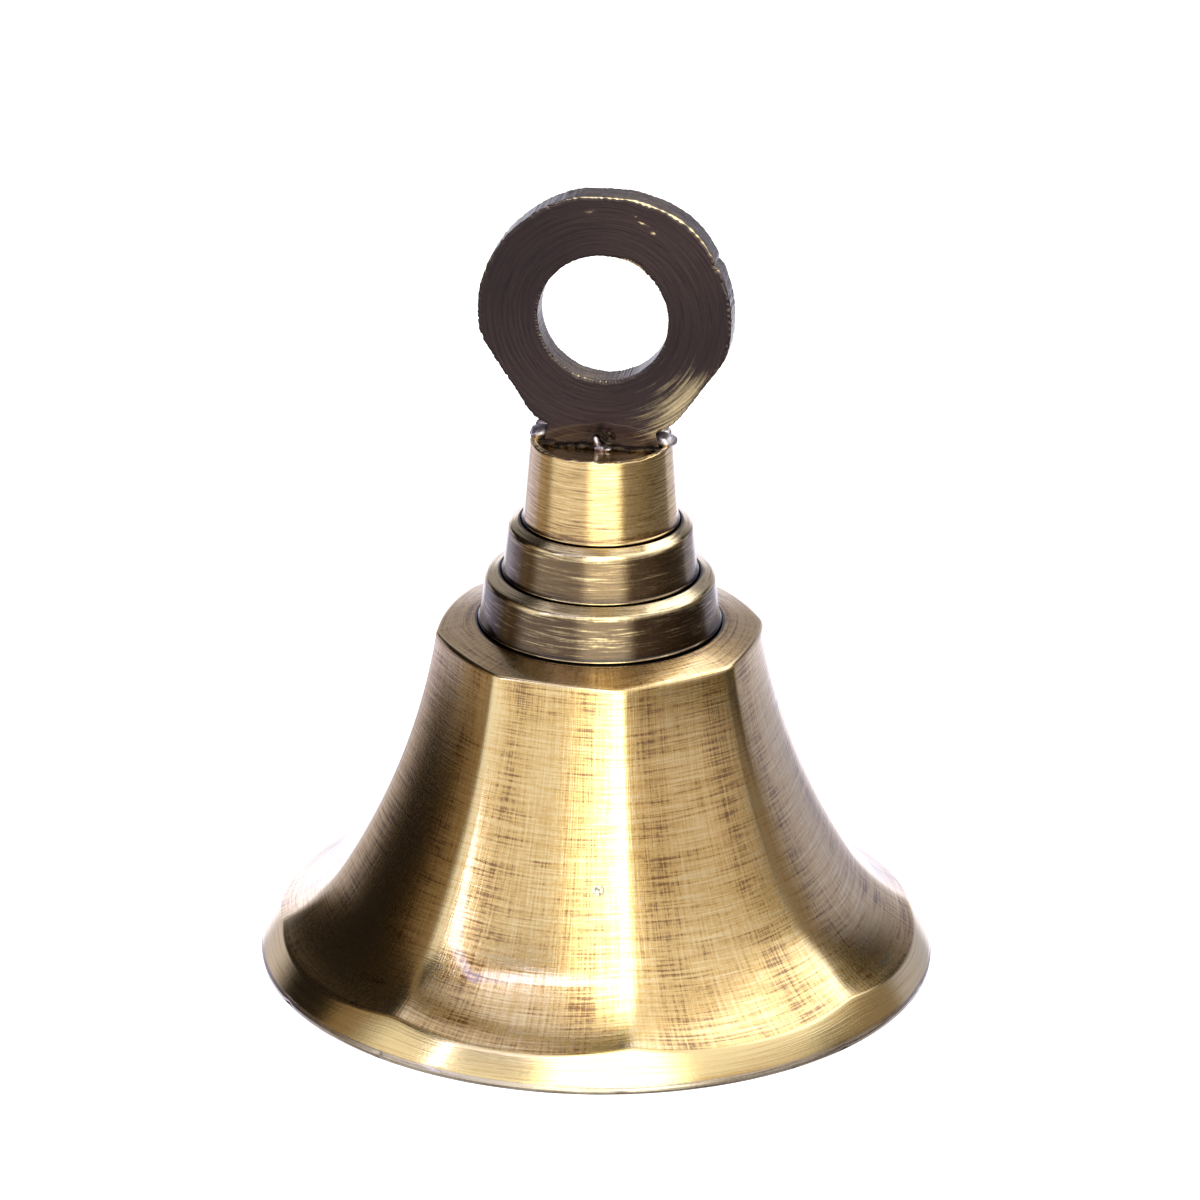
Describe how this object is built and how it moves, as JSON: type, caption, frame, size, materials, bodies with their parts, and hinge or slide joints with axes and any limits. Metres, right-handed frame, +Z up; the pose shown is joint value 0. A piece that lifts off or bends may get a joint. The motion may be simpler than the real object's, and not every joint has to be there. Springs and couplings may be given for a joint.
{
  "type": "temple bell",
  "caption": "Small brass temple bell with an eight-sided flared shell, a stepped crown, a flat hanging ring and a ball clapper swinging from an eye bolt inside.",
  "frame": {"origin": "centre of the mouth, on the plane the rim stands on", "axes": "+Z up along the bell's axis toward the hanging ring; +Y along the hole of the ring"},
  "size_m": [0.05, 0.05, 0.0594],
  "materials": {
    "shell_brass": "antique brushed brass",
    "turned_brass": "turned and patinated",
    "ring_bronze": "dark patina, rough cut",
    "braze": "dull solder",
    "inner_brass": "dull",
    "wire_steel": "drawn wire",
    "ball_brass": "turned, dented by use"
  },
  "bodies": {
    "bell": {"bell_shell": "shell_brass", "lower_collar": "turned_brass", "middle_collar": "turned_brass", "neck": "turned_brass", "hanging_ring": "ring_bronze", "ring_braze": "braze", "eye_bolt": "inner_brass", "crown_washer": "inner_brass", "crown_nut": "inner_brass"},
    "link": {"clapper_link": "wire_steel"},
    "clapper": {"clapper_rod": "wire_steel", "clapper_ball": "ball_brass"}
  },
  "joints": [
    {"name": "link_swing", "type": "hinge", "parent": "bell", "child": "link", "pos_m": [0, 0, 0.0164], "axis": [0, 1, 0], "range_deg": [-56, 56]},
    {"name": "clapper_swing", "type": "hinge", "parent": "link", "child": "clapper", "pos_m": [0, 0, 0.01308], "axis": [1, 0, 0], "range_deg": [-20, 20]}
  ]
}
